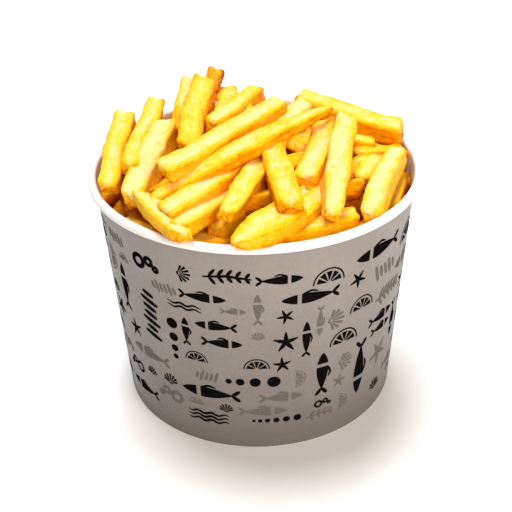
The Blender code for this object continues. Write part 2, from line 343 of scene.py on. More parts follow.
@dataclass(frozen=True)
class BoardFinish:
    """Paperboard: one colour with a faint fibre mottle and a soft shine, with painted shade that darkens it
    towards the foot where asked.
    """

    name: str
    colour: Colour
    shade: Colour
    roughness: float = 0.5
    # Painted shade: how much darker the board is painted at its foot, fading out at foot_height.
    painted_foot_shade: float = 0.0
    foot_height: float = 0.07
    fibre_scale: float = 900.0
    cloud_scale: float = 60.0
    fibre_share: float = 0.5
    shade_span: Range = (0.35, 1.1)
    roughness_swing: float = 0.06
    specular: float = 0.35
    cloud_rise: float = 2.0
    relief_height: float = 0.00004
    relief_share: float = 0.5

    def make(self) -> Material:
        """Builds the board, read in the tub's own frame.

        Returns:
            The material.
        """
        graph = Graph(self.name)
        place = graph.place()
        fibre = graph.noise(place, self.fibre_scale, 3.0)
        cloud = graph.noise(place, self.cloud_scale, 2.0)
        share = graph.total(graph.math("MULTIPLY", fibre, self.fibre_share),
                            graph.math("MULTIPLY", cloud, 1 - self.fibre_share))
        if self.painted_foot_shade:
            # Painted shade: the board is blended towards its shade colour near the foot, most at the bottom.
            split = graph.add("ShaderNodeSeparateXYZ")
            graph.put(split.inputs[0], place)
            foot = graph.spread(split.outputs["Z"], (0.0, self.foot_height), (self.painted_foot_shade, 0.0))
            share = graph.total(share, foot)
        shine = (self.roughness - self.roughness_swing, self.roughness + self.roughness_swing)
        colour = graph.blend(graph.spread(share, self.shade_span), self.colour, self.shade)
        graph.surface({"Base Color": colour,
                       "Roughness": graph.spread(fibre, graph.NOISE_SPAN, shine),
                       "Specular IOR Level": self.specular})
        raised = graph.total(fibre, graph.math("MULTIPLY", cloud, self.cloud_rise))
        graph.bump(raised, self.relief_height, self.relief_share)
        return graph.material


@dataclass(frozen=True)
class InkFinish:
    """Flat printing ink with a slightly broken density."""

    name: str
    colour: Colour
    thin: Colour
    density_scale: float = 1400.0
    density_span: Range = (0.35, 0.75)
    roughness: float = 0.5
    specular: float = 0.0

    def make(self) -> Material:
        """Builds the ink.

        Returns:
            The material.
        """
        graph = Graph(self.name)
        density = graph.spread(graph.noise(graph.place(), self.density_scale, 3.0), self.density_span)
        graph.surface({"Base Color": graph.blend(density, self.colour, self.thin),
                       "Roughness": self.roughness, "Specular IOR Level": self.specular})
        return graph.material


WHITE_BOARD = BoardFinish("white_board", (0.90, 0.89, 0.86), (0.82, 0.80, 0.76))
# The grey outside is painted darker towards its foot, as painted shade.
GREY_BOARD = BoardFinish("warm_grey_board", (0.31, 0.274, 0.25), (0.2, 0.177, 0.161), painted_foot_shade=0.7)
RAW_BOARD = BoardFinish("base_board", (0.74, 0.71, 0.65), (0.64, 0.60, 0.54), 0.65)
INKS = {Ink.BLACK: InkFinish("black_ink", (0.003, 0.0025, 0.0025), (0.008, 0.007, 0.0065)),
        Ink.GREY: InkFinish("grey_ink", (0.135, 0.122, 0.108), (0.18, 0.165, 0.145))}


def add_mesh(name: str, points: np.ndarray, faces: Sequence[Face], materials: Sequence[Material],
             smooth: bool = True) -> bpy.types.Object:
    """Makes a piece of the object that rides on the tub's body.

    Args:
        name: the piece's name.
        points: its vertices, one row each.
        faces: the vertex numbers of each face.
        materials: its materials, in the order of its material slots.
        smooth: whether its faces are shaded smooth.

    Returns:
        The piece.
    """
    data = bpy.data.meshes.new(name)
    data.from_pydata(points.tolist(), [], [list(map(int, face)) for face in faces])
    for material in materials:
        data.materials.append(material)
    if smooth:
        data.shade_smooth()
    made = bpy.data.objects.new(name, data)
    bpy.context.scene.collection.objects.link(made)
    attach(made, BODY)
    LOG.info("%s: %d points, %d faces", name, len(points), len(faces))
    return made


def tube_faces(around: int, rings: int, closed: bool = False, flipped: bool = False) -> list[Face]:
    """The faces of a tube of rings of points.

    Args:
        around: how many points a ring has.
        rings: how many rings there are.
        closed: whether the last ring joins the first one. Otherwise each end has a cap.
        flipped: whether the faces look the other way.

    Returns:
        The faces.
    """
    faces = []
    for ring in range(rings if closed else rings - 1):
        near = ring * around
        far = (ring + 1) % rings * around
        for index in range(around):
            later = (index + 1) % around
            faces.append((near + index, near + later, far + later, far + index))
    if flipped:
        faces = [face[:1] + face[:0:-1] for face in faces]
    if not closed:
        caps = [tuple(range(around))[::-1], tuple(range((rings - 1) * around, rings * around))]
        faces += [cap[::-1] for cap in caps] if flipped else caps
    return faces


def dress_potato(made: bpy.types.Object, browning_and_painted_shade: np.ndarray, space: np.ndarray) -> None:
    """Writes the attributes that the potato crust reads.

    Args:
        made: the piece.
        browning_and_painted_shade: how browned it is at each point, with painted shade added on lower faces
            and on the lower fries.
        space: each point's place in its fry's own space, in millimetres.
    """
    for name, kind, key, values in (("browning_and_painted_shade", "FLOAT", "value", browning_and_painted_shade),
                                    ("fry_space", "FLOAT_VECTOR", "vector", space)):
        attribute = made.data.attributes.new(name, kind, "POINT")
        attribute.data.foreach_set(key, values.astype(np.float32).ravel())


class Relief:
    """Smooth seeded noise in space, for the relief of meshes."""

    TABLE = 256
    GAIN = 1.6

    def __init__(self, seed: int) -> None:
        """Draws the table of random gradients.

        Args:
            seed: the seed of the draws.
        """
        draw = np.random.default_rng(seed)
        self.order = draw.permutation(self.TABLE)
        steps = draw.normal(size=(self.TABLE, 3))
        self.slopes = steps / np.linalg.norm(steps, axis=1, keepdims=True)

    def at(self, points: np.ndarray, size: float) -> np.ndarray:
        """The noise at some points.

        Args:
            points: one row of three each.
            size: the size of a feature, in the points' unit.

        Returns:
            One value for each point, about -1 to 1.
        """
        scaled = points / size
        cell = np.floor(scaled).astype(int)
        inside = scaled - cell
        ease = inside**3 * (inside * (inside * 6 - 15) + 10)
        total = np.zeros(len(points))
        for corner in np.ndindex(2, 2, 2):
            pick = np.zeros(len(points), int)
            for number in ((cell + corner) % self.TABLE).T:
                pick = self.order[(pick + number) % self.TABLE]
            rise = (self.slopes[pick] * (inside - corner)).sum(axis=1)
            total += rise * np.prod(np.where(corner, ease, 1 - ease), axis=1)
        return total * self.GAIN


RELIEF = Relief(5)


@dataclass(frozen=True)
class TubShape:
    """The tub's sizes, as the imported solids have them."""

    height: float = 0.087
    rim_radius: float = 0.0585
    foot_radius: float = 0.0495
    roll_radius: float = 0.0015
    roll_turn: float = math.radians(295)
    paper: float = 0.0005
    layer_step: float = 0.0008
    groove_height: float = 0.0042
    groove_half_width: float = 0.0009
    groove_depth: float = 0.0002
    fold_height: float = 0.0062
    clearance: float = 0.0002
    overhang: float = 0.002

    @property
    def roll_centre(self) -> Spot:
        """The middle of the rolled rim, as radius and height."""
        return self.rim_radius - self.roll_radius, self.height - self.roll_radius

    def outside(self, height: np.ndarray | float) -> np.ndarray:
        """The sleeve's outside radius.

        Args:
            height: the heights where it is wanted.

        Returns:
            The radius at each height.
        """
        neck = self.rim_radius - 2 * self.roll_radius + self.paper
        away = np.abs(height - self.groove_height) / self.groove_half_width
        straight = self.foot_radius + (neck - self.foot_radius) * height / (self.height - self.roll_radius)
        return straight - self.groove_depth * np.maximum(0, 1 - away)

    def hold(self, points: np.ndarray) -> np.ndarray:
        """Moves points in from the wall, and up on to the rim where they lie across it.

        Args:
            points: one row of three each.

        Returns:
            The moved points.
        """
        reach = np.hypot(points[:, 0], points[:, 1])
        height = points[:, 2]
        middle, level = self.roll_centre
        around = self.roll_radius + self.clearance
        low = height <= level
        inside = self.outside(np.minimum(height, level)) - self.paper - self.clearance
        limit = np.where(low, inside, self.rim_radius + self.overhang)
        sideways = np.minimum(reach, limit) - middle
        upwards = height - level
        away = np.hypot(sideways, upwards)
        struck = ~low & (away < around)
        stretch = np.where(struck, around / np.maximum(away, TINY), 1)
        share = (middle + sideways * stretch) / np.maximum(reach, TINY)
        return np.column_stack([points[:, :2] * share[:, None], level + upwards * stretch])


TUB = TubShape()


@dataclass
class Tub:
    """The paper tub: its rolled, lapped sleeve and its base."""

    shape: TubShape = TUB
    segments: int = 180
    sleeve_rows: int = 22
    roll_steps: int = 22
    groove_steps: tuple[float, ...] = (-1.0, -0.5, 0.0, 0.5, 1.0)
    foot_corner: float = 2.5
    lap_angle: float = math.radians(101)
    lap_width: float = 0.008
    lap_step: float = 0.0003
    lap_edge: float = 0.0006
    lap_tail: float = 0.024
    column_room: float = 0.012
    tuck: float = 0.4
    paint_inside: float = 0.0003
    paint_outside: float = 0.0004
    crease: float = math.radians(40)

    def path(self) -> np.ndarray:
        """The middle line of the sheet: inner fold, foot, sleeve and rolled rim.

        Returns:
            One row of radius and height for each of its points.
        """
        shape = self.shape
        half = shape.paper / 2
        groove = shape.groove_height + shape.groove_half_width * np.array(self.groove_steps)
        foot = np.array([half, half * self.foot_corner])
        fold = np.concatenate([[shape.fold_height], groove[::-1], foot[::-1]])
        sleeve = np.linspace(groove[-1], shape.height - shape.roll_radius, self.sleeve_rows + 1)[1:-1]
        up = np.concatenate([foot, groove, sleeve])
        inner = np.stack([shape.outside(fold) - half - 2 * shape.layer_step, fold], axis=1)
        outer = np.stack([shape.outside(up) - half, up], axis=1)
        angle = math.pi - shape.roll_turn * np.arange(self.roll_steps + 1) / self.roll_steps
        turned = np.stack([np.cos(angle), np.sin(angle)], axis=1)
        roll = np.array(shape.roll_centre) + (shape.roll_radius - half) * turned
        return np.concatenate([inner, outer, roll])

    def outline(self) -> tuple[np.ndarray, int]:
        """The closed outline of the sheet's section.

        Returns:
            Its points as radius and height, and how many of them, the first ones, are on the white side.
        """
        path = self.path()
        ways = np.diff(path, axis=0)
        ways /= np.linalg.norm(ways, axis=1, keepdims=True)
        before = np.concatenate([ways[:1], ways])
        after = np.concatenate([ways, ways[-1:]])
        normal = np.stack([-(before + after)[:, 1], (before + after)[:, 0]], axis=1)
        normal /= np.linalg.norm(normal, axis=1, keepdims=True)
        first = np.stack([-before[:, 1], before[:, 0]], axis=1)
        offset = normal * (self.shape.paper / 2 / (normal * first).sum(axis=1))[:, None]
        return np.concatenate([path + offset, (path - offset)[::-1]]), len(path)

    def seam(self) -> Range:
        """The angles between which the lap stands out."""
        return self.lap_angle, self.lap_angle + self.lap_width / self.shape.foot_radius

    def columns(self) -> np.ndarray:
        """The angles of the sleeve's columns, with a close pair where the lap steps up and one where it ends.

        Returns:
            The angles in their order.
        """
        even = 2 * math.pi * np.arange(self.segments) / self.segments
        start, end = self.seam()
        edges = [start - self.lap_edge, start, end, end + self.lap_tail]
        keep = [angle for angle in even if min(abs(angle - edge) for edge in edges) > self.column_room]
        return np.array(sorted(keep + edges))

    def build(self) -> None:
        """Builds the sleeve with its white inside and grey outside, and finishes the base."""
        outline, side = self.outline()
        start, end = self.seam()
        outer = (np.arange(len(outline)) >= side) & (outline[:, 1] < self.shape.roll_centre[1])
        rows = []
        for angle in self.columns():
            radius = outline[:, 0] + outer * (self.lap_step if start <= angle <= end else 0.0)
            row = [radius * math.cos(angle), radius * math.sin(angle), outline[:, 1]]
            rows.append(np.stack(row, axis=1))
        faces = tube_faces(len(outline), len(rows), closed=True)
        boards = [WHITE_BOARD.make(), GREY_BOARD.make()]
        sleeve = add_mesh("tub_sleeve", np.concatenate(rows), faces, boards)
        self.paint(sleeve)
        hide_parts("tub_wall")
        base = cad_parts["tub_base"]
        base.data.materials.clear()
        base.data.materials.append(RAW_BOARD.make())
        LOG.info("tub_base: its solid, in raw board")

    def paint(self, sleeve: bpy.types.Object) -> None:
        """Gives the grey board to the sheet's outer side, up to where the roll tucks in.

        Args:
            sleeve: the sleeve.
        """
        tuck = self.shape.roll_centre[1] - self.shape.roll_radius * self.tuck
        for face in sleeve.data.polygons:
            centre = face.center
            outward = centre.x * face.normal.x + centre.y * face.normal.y > 0
            proud = math.hypot(centre.x, centre.y) - self.shape.outside(centre.z)
            on_side = -self.paint_inside < proud < self.paint_outside
            face.material_index = int(outward and on_side and centre.z < tuck)
        sleeve.data.set_sharp_from_angle(angle=self.crease)


class Motif(Enum):
    """The plain figures of the tub's print."""

    WAVES = "waves"
    DOTS = "dots"
    BUBBLES = "bubbles"
    FISH = "fish"
    SPRIG = "sprig"
    WEDGE = "wedge"
    SHELL = "shell"
    STROKES = "strokes"
    STAR = "star"


@dataclass(frozen=True)
class Ribbon:
    """A stroke of ink in a figure's own plane: its middle line and its half width at each point."""

    line: np.ndarray
    half: np.ndarray


def stroke(points: Sequence[Spot], half: float, taper: float, steps: int, swell: float = 0.6) -> Ribbon:
    """A smooth stroke through some points.

    Args:
        points: the points that it passes through.
        half: its half width in the middle.
        taper: the share of that half width left at its ends.
        steps: how many parts it is cut into.
        swell: how it widens. Less than 1 widens it soon.

    Returns:
        The stroke.
    """
    knots = np.array(points, float)
    runs = np.concatenate([[0], np.cumsum(np.linalg.norm(np.diff(knots, axis=0), axis=1))])
    at = np.linspace(0, runs[-1], steps + 1)
    line = np.stack([np.interp(at, runs, knots[:, axis]) for axis in (0, 1)], axis=1)
    share = np.maximum(0, np.sin(math.pi * at / runs[-1])) ** swell
    return Ribbon(line, half * (taper + (1 - taper) * share))


def disc(centre: Spot, wide: float, high: float, steps: int = 12, blunt: float = 0.04) -> Ribbon:
    """A filled ellipse.

    Args:
        centre: its middle.
        wide: half of its width.
        high: half of its height.
        steps: how many parts it is cut into.
        blunt: the share of its height left at its ends.

    Returns:
        The ellipse.
    """
    turn = np.linspace(0, math.pi, steps + 1)
    line = np.stack([centre[0] - wide * np.cos(turn), np.full(len(turn), centre[1])], axis=1)
    return Ribbon(line, np.maximum(high * np.sin(turn), high * blunt))


def ring(centre: Spot, radius: float, half: float, sweep: float = 2 * math.pi, steps: int = 24) -> Ribbon:
    """A ring, or a part of one from the right-hand side on.

    Args:
        centre: its middle.
        radius: its middle line's radius.
        half: half of its line's width.
        sweep: the angle that it covers.
        steps: how many parts it is cut into.

    Returns:
        The ring.
    """
    turn = sweep * np.arange(steps + 1) / steps
    line = np.stack([centre[0] + radius * np.cos(turn), centre[1] + radius * np.sin(turn)], axis=1)
    return Ribbon(line, np.full(len(turn), half))


def rib(lift: float, turn: float, reach: float, shares: Sequence[float], halves: np.ndarray) -> Ribbon:
    """A straight line of ink that points away from the middle of a fan or a star.

    Args:
        lift: the height of that middle.
        turn: the line's direction.
        reach: how far it goes.
        shares: the shares of its reach where its width is given.
        halves: its half width at each of them.

    Returns:
        The line.
    """
    ends = [(math.cos(turn) * reach * share, lift + math.sin(turn) * reach * share) for share in shares]
    return Ribbon(np.array(ends), halves)


class MotifArt:
    """Draws one figure at a height, from seeded choices. Its numbers are counts and shares of that height."""

    PEN: Range = (0.115, 0.16)
    WAVE_ROWS = (2, 2, 3)
    WAVE_LENGTHS: Range = (2.6, 4.4)
    WAVE_TURNS = (2.5, 3.0, 3.5)
    WAVE_POINTS = 33
    WAVE_SWING = 0.27
    WAVE_PEN = 0.26
    WAVE_ENDS = 0.35
    WAVE_SWELL: Pair = (0.9, 0.7)
    DOT_COUNTS = (4, 6)
    DOT_SIZES: Pair = (0.14, 0.2)
    DOT_ROOM = 1.5
    RINGS = ((0.0, 0.0, 0.8, 1.0), (1.7, 0.45, 0.5, 0.9), (2.7, -0.35, 0.32, 0.8))
    FISH_LENGTHS: Range = (2.1, 2.8)
    FISH_POINTS = 18
    FISH_GIRTH = 0.62
    FISH_SWELL: Pair = (0.8, 0.85)
    FISH_NOSE = 0.05
    GILL_PLACE = 0.3
    GILL_GAP = 0.12
    TAIL_PLACE = 0.93
    TAIL_REACH: Pair = (0.75, 0.62)
    TAIL_PEN = 0.2
    FIN = ((-0.25, 0.62), (0.1, 0.85), (0.35, 0.62))
    FIN_PEN = 0.13
    SPRIG_LENGTHS: Range = (2.0, 3.0)
    SPRIG_BEND = 0.18
    SPRIG_COUNTS = (4, 6)
    STEM_PEN = 0.7
    LEAF_ROOM: Pair = (0.7, 0.4)
    LEAF_REACH: Pair = (0.52, 0.22)
    LEAF_LEAN = 0.75
    LEAF_PEN = 0.1
    SLICE_SIZE = 0.85
    SLICE_RIND = 0.045
    SLICE_PARTS = 5
    SLICE_SHARES = (0.14, 0.48, 0.8)
    SLICE_HALVES = (0.02, 0.11, 0.2)
    SHELL_FOOT = 0.45
    SHELL_HINGE: Pair = (0.16, 0.08)
    SHELL_RIBS = 7
    SHELL_STEP = 22.0
    SHELL_REACH: Pair = (0.92, 0.025)
    SHELL_SHARES = (0.2, 0.6, 1.0)
    SHELL_HALVES = (0.02, 0.07, 0.095)
    BAR_COUNTS = (5, 9)
    BAR_STEP = 0.36
    BAR_HEIGHTS: Pair = (0.3, 0.2)
    BAR_BEAT = 1.9
    BAR_LEAN = 0.3
    BAR_PEN = 0.32
    STAR_REACH = 0.66
    STAR_ARMS = 5
    STAR_SHARES = (0.0, 0.5, 1.0)
    STAR_HALVES = (0.18, 0.17, 0.05)

    def __init__(self, draw: random.Random, height: float) -> None:
        """Works out the pen for the figure's height.

        Args:
            draw: the random draws.
            height: the figure's height.
        """
        self.draw = draw
        self.height = height
        self.pen = height * draw.uniform(*self.PEN)

    def make(self, motif: Motif) -> list[Ribbon]:
        """The ribbons of one figure."""
        return getattr(self, motif.value)()

    def waves(self) -> list[Ribbon]:
        """Two or three waved lines, one over the other.

        Returns:
            One ribbon for each line.
        """
        rows = self.draw.choice(self.WAVE_ROWS)
        length = self.height * self.draw.uniform(*self.WAVE_LENGTHS)
        turns = self.draw.choice(self.WAVE_TURNS)
        gap = self.height / rows
        run = np.linspace(-0.5, 0.5, self.WAVE_POINTS)
        rise = gap * self.WAVE_SWING * np.sin(2 * math.pi * turns * run)
        swell, ease = self.WAVE_SWELL
        share = self.WAVE_ENDS + swell * np.sin(math.pi * (run + 0.5)) ** ease
        half = min(self.pen, gap * self.WAVE_PEN) * share
        return [Ribbon(np.stack([run * length, (row - (rows - 1) / 2) * gap + rise], axis=1), half)
                for row in range(rows)]

    def dots(self) -> list[Ribbon]:
        """A row of dots that grow along it.

        Returns:
            One ribbon for each dot.
        """
        count = self.draw.randint(*self.DOT_COUNTS)
        least, growth = self.DOT_SIZES
        made = []
        place = 0.0
        for index in range(count):
            size = self.height * (least + growth * index / count)
            place += size * self.DOT_ROOM
            made.append(disc((place, 0.0), size, size))
            place += size * self.DOT_ROOM
        return made

    def bubbles(self) -> list[Ribbon]:
        """Three rings of different sizes.

        Returns:
            One ribbon for each ring.
        """
        size = self.height / 2
        return [ring((size * across, size * up), size * radius, self.pen * share)
                for across, up, radius, share in self.RINGS]

    def fish(self) -> list[Ribbon]:
        """A plain fish: a long body parted at the gill, a forked tail and a back fin.

        Returns:
            The head, the body, the two points of the tail, and the fin.
        """
        high = self.height / 2
        length = high * self.draw.uniform(*self.FISH_LENGTHS)
        run = np.linspace(0, 1, self.FISH_POINTS)
        start, ease = self.FISH_SWELL
        belly = high * self.FISH_GIRTH * np.sin(math.pi * run ** start) ** ease
        thin = np.maximum(belly, high * self.FISH_NOSE)
        line = np.stack([(run - 0.5) * 2 * length, np.zeros(len(run))], axis=1)
        body = run > self.GILL_PLACE
        gap = np.array([high * self.GILL_GAP, 0])
        tail = length * self.TAIL_PLACE
        back, out = self.TAIL_REACH
        made = [Ribbon(line[~body] - gap, thin[~body]), Ribbon(line[body], thin[body])]
        for side in (1, -1):
            point = (tail + high * back, side * high * out)
            made.append(stroke([(tail, 0), point], high * self.TAIL_PEN, taper=0.4, steps=6))
        fin = [(length * along, high * up) for along, up in self.FIN]
        return made + [stroke(fin, high * self.FIN_PEN, taper=0.2, steps=8)]

    def sprig(self) -> list[Ribbon]:
        """A bent stem with leaves on both sides.

        Returns:
            The stem and the leaves.
        """
        length = self.height * self.draw.uniform(*self.SPRIG_LENGTHS)
        bend = self.height * self.SPRIG_BEND
        count = self.draw.randint(*self.SPRIG_COUNTS)
        stem = [(0, 0), (length / 2, bend), (length, 0)]
        made = [stroke(stem, self.pen * self.STEM_PEN, taper=0.4, steps=12)]
        first, spare = self.LEAF_ROOM
        longest, loss = self.LEAF_REACH
        for index in range(count):
            share = (index + first) / (count + spare)
            base = (length * share, bend * math.sin(math.pi * share))
            reach = self.height * (longest - loss * share)
            for side in (-1, 1):
                tip = (base[0] + reach * self.LEAF_LEAN, base[1] + side * reach)
                made.append(stroke([base, tip], self.height * self.LEAF_PEN, taper=0.15, steps=8))
        return made

    def wedge(self) -> list[Ribbon]:
        """A slice of citrus: a thin half ring round five segments.

        Returns:
            The half ring and the segments.
        """
        size = self.height * self.SLICE_SIZE
        lift = -self.height / 2
        halves = size * np.array(self.SLICE_HALVES)
        made = [ring((0, lift), size, self.height * self.SLICE_RIND, sweep=math.pi, steps=20)]
        made += [rib(lift, math.pi * (index + 0.5) / self.SLICE_PARTS, size, self.SLICE_SHARES, halves)
                 for index in range(self.SLICE_PARTS)]
        return made

    def shell(self) -> list[Ribbon]:
        """A shell: ribs that fan out from one point.

        Returns:
            The hinge and the ribs.
        """
        foot = -self.height * self.SHELL_FOOT
        wide, high = self.SHELL_HINGE
        longest, loss = self.SHELL_REACH
        halves = self.height * np.array(self.SHELL_HALVES)
        made = [disc((0, foot), self.height * wide, self.height * high)]
        for index in range(self.SHELL_RIBS):
            side = index - self.SHELL_RIBS // 2
            reach = self.height * (longest - loss * side ** 2)
            turn = math.radians(90 + side * self.SHELL_STEP)
            made.append(rib(foot, turn, reach, self.SHELL_SHARES, halves))
        return made

    def strokes(self) -> list[Ribbon]:
        """A row of slanted bars of changing height.

        Returns:
            One ribbon for each bar.
        """
        count = self.draw.randint(*self.BAR_COUNTS)
        step = self.height * self.BAR_STEP
        least, growth = self.BAR_HEIGHTS
        made = []
        for index in range(count):
            high = self.height * (least + growth * math.sin(index * self.BAR_BEAT) ** 2)
            lean = high * self.BAR_LEAN
            ends = [(index * step - lean, -high), (index * step + lean, high)]
            made.append(stroke(ends, min(self.pen, step * self.BAR_PEN), taper=0.5, steps=6))
        return made

    def star(self) -> list[Ribbon]:
        """A sea star: arms that taper from the middle.

        Returns:
            One ribbon for each arm.
        """
        reach = self.height * self.STAR_REACH
        start = self.draw.uniform(0, 1)
        halves = reach * np.array(self.STAR_HALVES)
        return [rib(0.0, start + 2 * math.pi * index / self.STAR_ARMS, reach, self.STAR_SHARES, halves)
                for index in range(self.STAR_ARMS)]


@dataclass(frozen=True)
class Placed:
    """A figure's place on the wall: its middle and its half sizes."""

    angle: float
    height: float
    half_angle: float
    half_height: float

    def meets(self, other: "Placed", gap: float) -> bool:
        """Whether two places overlap, or lie closer than a gap.

        Args:
            other: the other place.
            gap: the least distance between them.

        Returns:
            Whether they meet.
        """
        turn = abs((self.angle - other.angle + math.pi) % (2 * math.pi) - math.pi)
        room = self.half_angle + other.half_angle + gap / TUB.foot_radius
        return turn < room and abs(self.height - other.height) < self.half_height + other.half_height + gap


@dataclass
class Print:
    """The scattered print round the sleeve, in two inks."""

    seed: int = 30
    tries: int = 9000
    low: float = 0.0085
    high: float = 0.0775
    gap: float = 0.0006
    heights: Range = (0.0046, 0.0084)
    fade: float = 0.5
    grey_share: float = 0.38
    upright_share: float = 0.3
    proud: float = 0.00004
    sunk: float = 0.00006
    figures: tuple[Motif, ...] = tuple(Motif) + (Motif.FISH, Motif.FISH)

    def build(self, seam: Range) -> None:
        """Places the figures by seeded tries and builds one piece for each ink.

        Args:
            seam: the angles between which the lapped seam is kept clear.
        """
        draw = random.Random(self.seed)
        middle = (seam[0] + seam[1]) / 2
        taken = [Placed(middle, self.high / 2, (seam[1] - seam[0]) / 2, self.high)]
        inked: dict[Ink, list[Ribbon]] = {ink: [] for ink in Ink}
        for attempt in range(self.tries):
            size = draw.uniform(*self.heights) * (1 - self.fade * attempt / self.tries)
            art = MotifArt(draw, size)
            ribbons = art.make(draw.choice(self.figures))
            angle = draw.uniform(-math.pi, math.pi)
            height = draw.uniform(self.low, self.high)
            upright = draw.random() < self.upright_share
            ink = Ink.GREY if draw.random() < self.grey_share else Ink.BLACK
            laid, half = self.centred(ribbons, upright, draw.choice((-1, 1)))
            place = Placed(angle, height, half[0] / float(TUB.outside(height)), half[1])
            inside = self.low < height - half[1] < height + half[1] < self.high
            if inside and not any(place.meets(other, self.gap) for other in taken):
                taken.append(place)
                inked[ink].extend(self.on_wall(ribbon, place) for ribbon in laid)
        LOG.info("print: %d figures", len(taken) - 1)
        for ink, ribbons in inked.items():
            self.emboss(ink, ribbons)

    def centred(self, ribbons: list[Ribbon], upright: bool, side: int) -> tuple[list[Ribbon], Spot]:
        """Centres a figure, flips it to a side and turns it upright where asked.

        Args:
            ribbons: the figure's ribbons.
            upright: whether it is turned by a quarter.
            side: 1, or -1 to flip it.

        Returns:
            The new ribbons, and half of the figure's width and height.
        """
        low = np.min([(ribbon.line - ribbon.half[:, None]).min(axis=0) for ribbon in ribbons], axis=0)
        top = np.max([(ribbon.line + ribbon.half[:, None]).max(axis=0) for ribbon in ribbons], axis=0)
        laid = []
        for ribbon in ribbons:
            line = (ribbon.line - (low + top) / 2) * np.array([side, 1])
            laid.append(Ribbon(line[:, ::-1] * np.array([1, -1]) if upright else line, ribbon.half))
        half = (top - low) / 2
        return laid, (half[1], half[0]) if upright else (half[0], half[1])

    def on_wall(self, ribbon: Ribbon, place: Placed) -> Ribbon:
        """Moves a ribbon from its figure's plane to the wall.

        Args:
            ribbon: the ribbon in the plane.
            place: where its figure goes.

        Returns:
            The ribbon, with each point as its distance round the wall, its height and its figure's radius.
        """
        radius = float(TUB.outside(place.height))
        line = ribbon.line + np.array([place.angle * radius, place.height])
        return Ribbon(np.column_stack([line, np.full(len(line), radius)]), ribbon.half)

    def emboss(self, ink: Ink, ribbons: list[Ribbon]) -> None:
        """Makes one piece of all the ribbons of an ink, as thin closed slabs that follow the cone.

        Args:
            ink: the ink.
            ribbons: its ribbons on the wall.
        """
        points = []
        faces = []
        for ribbon in ribbons:
            line = ribbon.line[:, :2]
            ways = np.gradient(line, axis=0)
            ways /= np.maximum(np.linalg.norm(ways, axis=1, keepdims=True), TINY)
            side = np.stack([-ways[:, 1], ways[:, 0]], axis=1) * ribbon.half[:, None]
            faces.extend(self.slab_faces(sum(map(len, points)), len(line)))
            for lift in (-self.sunk, self.proud):
                for share in (-1, 0, 1):
                    spot = line + side * share
                    reach = TUB.outside(spot[:, 1]) + lift
                    turn = spot[:, 0] / ribbon.line[0, 2]
                    points.append(np.stack([reach * np.cos(turn), reach * np.sin(turn), spot[:, 1]], axis=1))
        add_mesh(f"print_{ink.value}", np.concatenate(points), faces, [INKS[ink].make()],
                 smooth=False)

    def slab_faces(self, start: int, count: int) -> list[Face]:
        """The faces of one slab of two layers with three lines each.

        Args:
            start: the number of its first point.
            count: how many points a line has.

        Returns:
            The faces.
        """
        loop = [start + line * count for line in (0, 1, 2, 5, 4, 3)]
        faces = []
        for index in range(count - 1):
            for near, far in zip(loop, loop[1:] + loop[:1]):
                faces.append((near + index, near + index + 1, far + index + 1, far + index))
        faces.append(tuple(loop))
        faces.append(tuple(line + count - 1 for line in loop[::-1]))
        return faces


@dataclass(frozen=True)
class Fry:
    """One cut stick of potato: its two ends, its cut sides, and how it bends, thins and browns; for some low
    fries the tone is painted shade.
    """

    name: str
    foot: Point
    head: Point
    wide: float
    thick: float
    roll: float = 0.0
    bow: float = 0.0
    foot_size: float = 0.93
    head_size: float = 0.93
    tone: float = 0.0
    burnt_head: float = 0.0


LEFT_FRIES = (
    Fry("left_outer", (-0.0490, -0.023, 0.090), (-0.0458, 0.022, 0.0955), 0.0076, 0.0064, bow=0.001),
    Fry("left_second", (-0.042, -0.019, 0.095), (-0.036, 0.027, 0.098), 0.0068, 0.0062, roll=12),
    Fry("left_third", (-0.0405, -0.0315, 0.089), (-0.0300, 0.008, 0.0985), 0.0086, 0.0080, roll=-3,
        tone=-0.08),
    Fry("left_wedge", (-0.040, -0.029, 0.092), (-0.0218, -0.0555, 0.0900), 0.0072, 0.0056,
        foot_size=0.25, head_size=0.8),
    Fry("left_under", (-0.034, -0.034, 0.0825), (-0.020, 0.004, 0.0845), 0.0076, 0.0072, tone=0.2),
    Fry("left_crumb", (-0.044, -0.030, 0.081), (-0.034, -0.042, 0.081), 0.0062, 0.0060, tone=0.1),
)
BACK_FRIES = (
    Fry("back_left", (-0.0262, 0.004, 0.0965), (-0.0230, 0.041, 0.101), 0.0068, 0.0066),
    Fry("back_tall", (-0.0225, -0.014, 0.099), (-0.0185, 0.036, 0.103), 0.0088, 0.0066, roll=8,
        tone=0.15),
    Fry("browned_tip", (-0.018, 0.016, 0.096), (-0.0143, 0.046, 0.103), 0.0066, 0.0046, roll=20,
        tone=0.35, burnt_head=0.2),
    Fry("back_stub", (-0.0262, 0.003, 0.0975), (-0.0252, 0.0125, 0.1035), 0.0044, 0.0054, tone=0.12),
    Fry("back_end", (-0.009, 0.026, 0.097), (-0.010, 0.046, 0.094), 0.0080, 0.0066, roll=-8, tone=0.2),
    Fry("back_between", (-0.014, 0.006, 0.0945), (-0.0085, 0.034, 0.0968), 0.0074, 0.0070, tone=0.1),
    Fry("back_centre", (-0.006, 0.026, 0.097), (0.004, -0.012, 0.094), 0.0070, 0.0068),
    Fry("pale_back", (0.019, 0.024, 0.0975), (0.006, 0.002, 0.093), 0.0080, 0.0070, tone=-0.15),
)
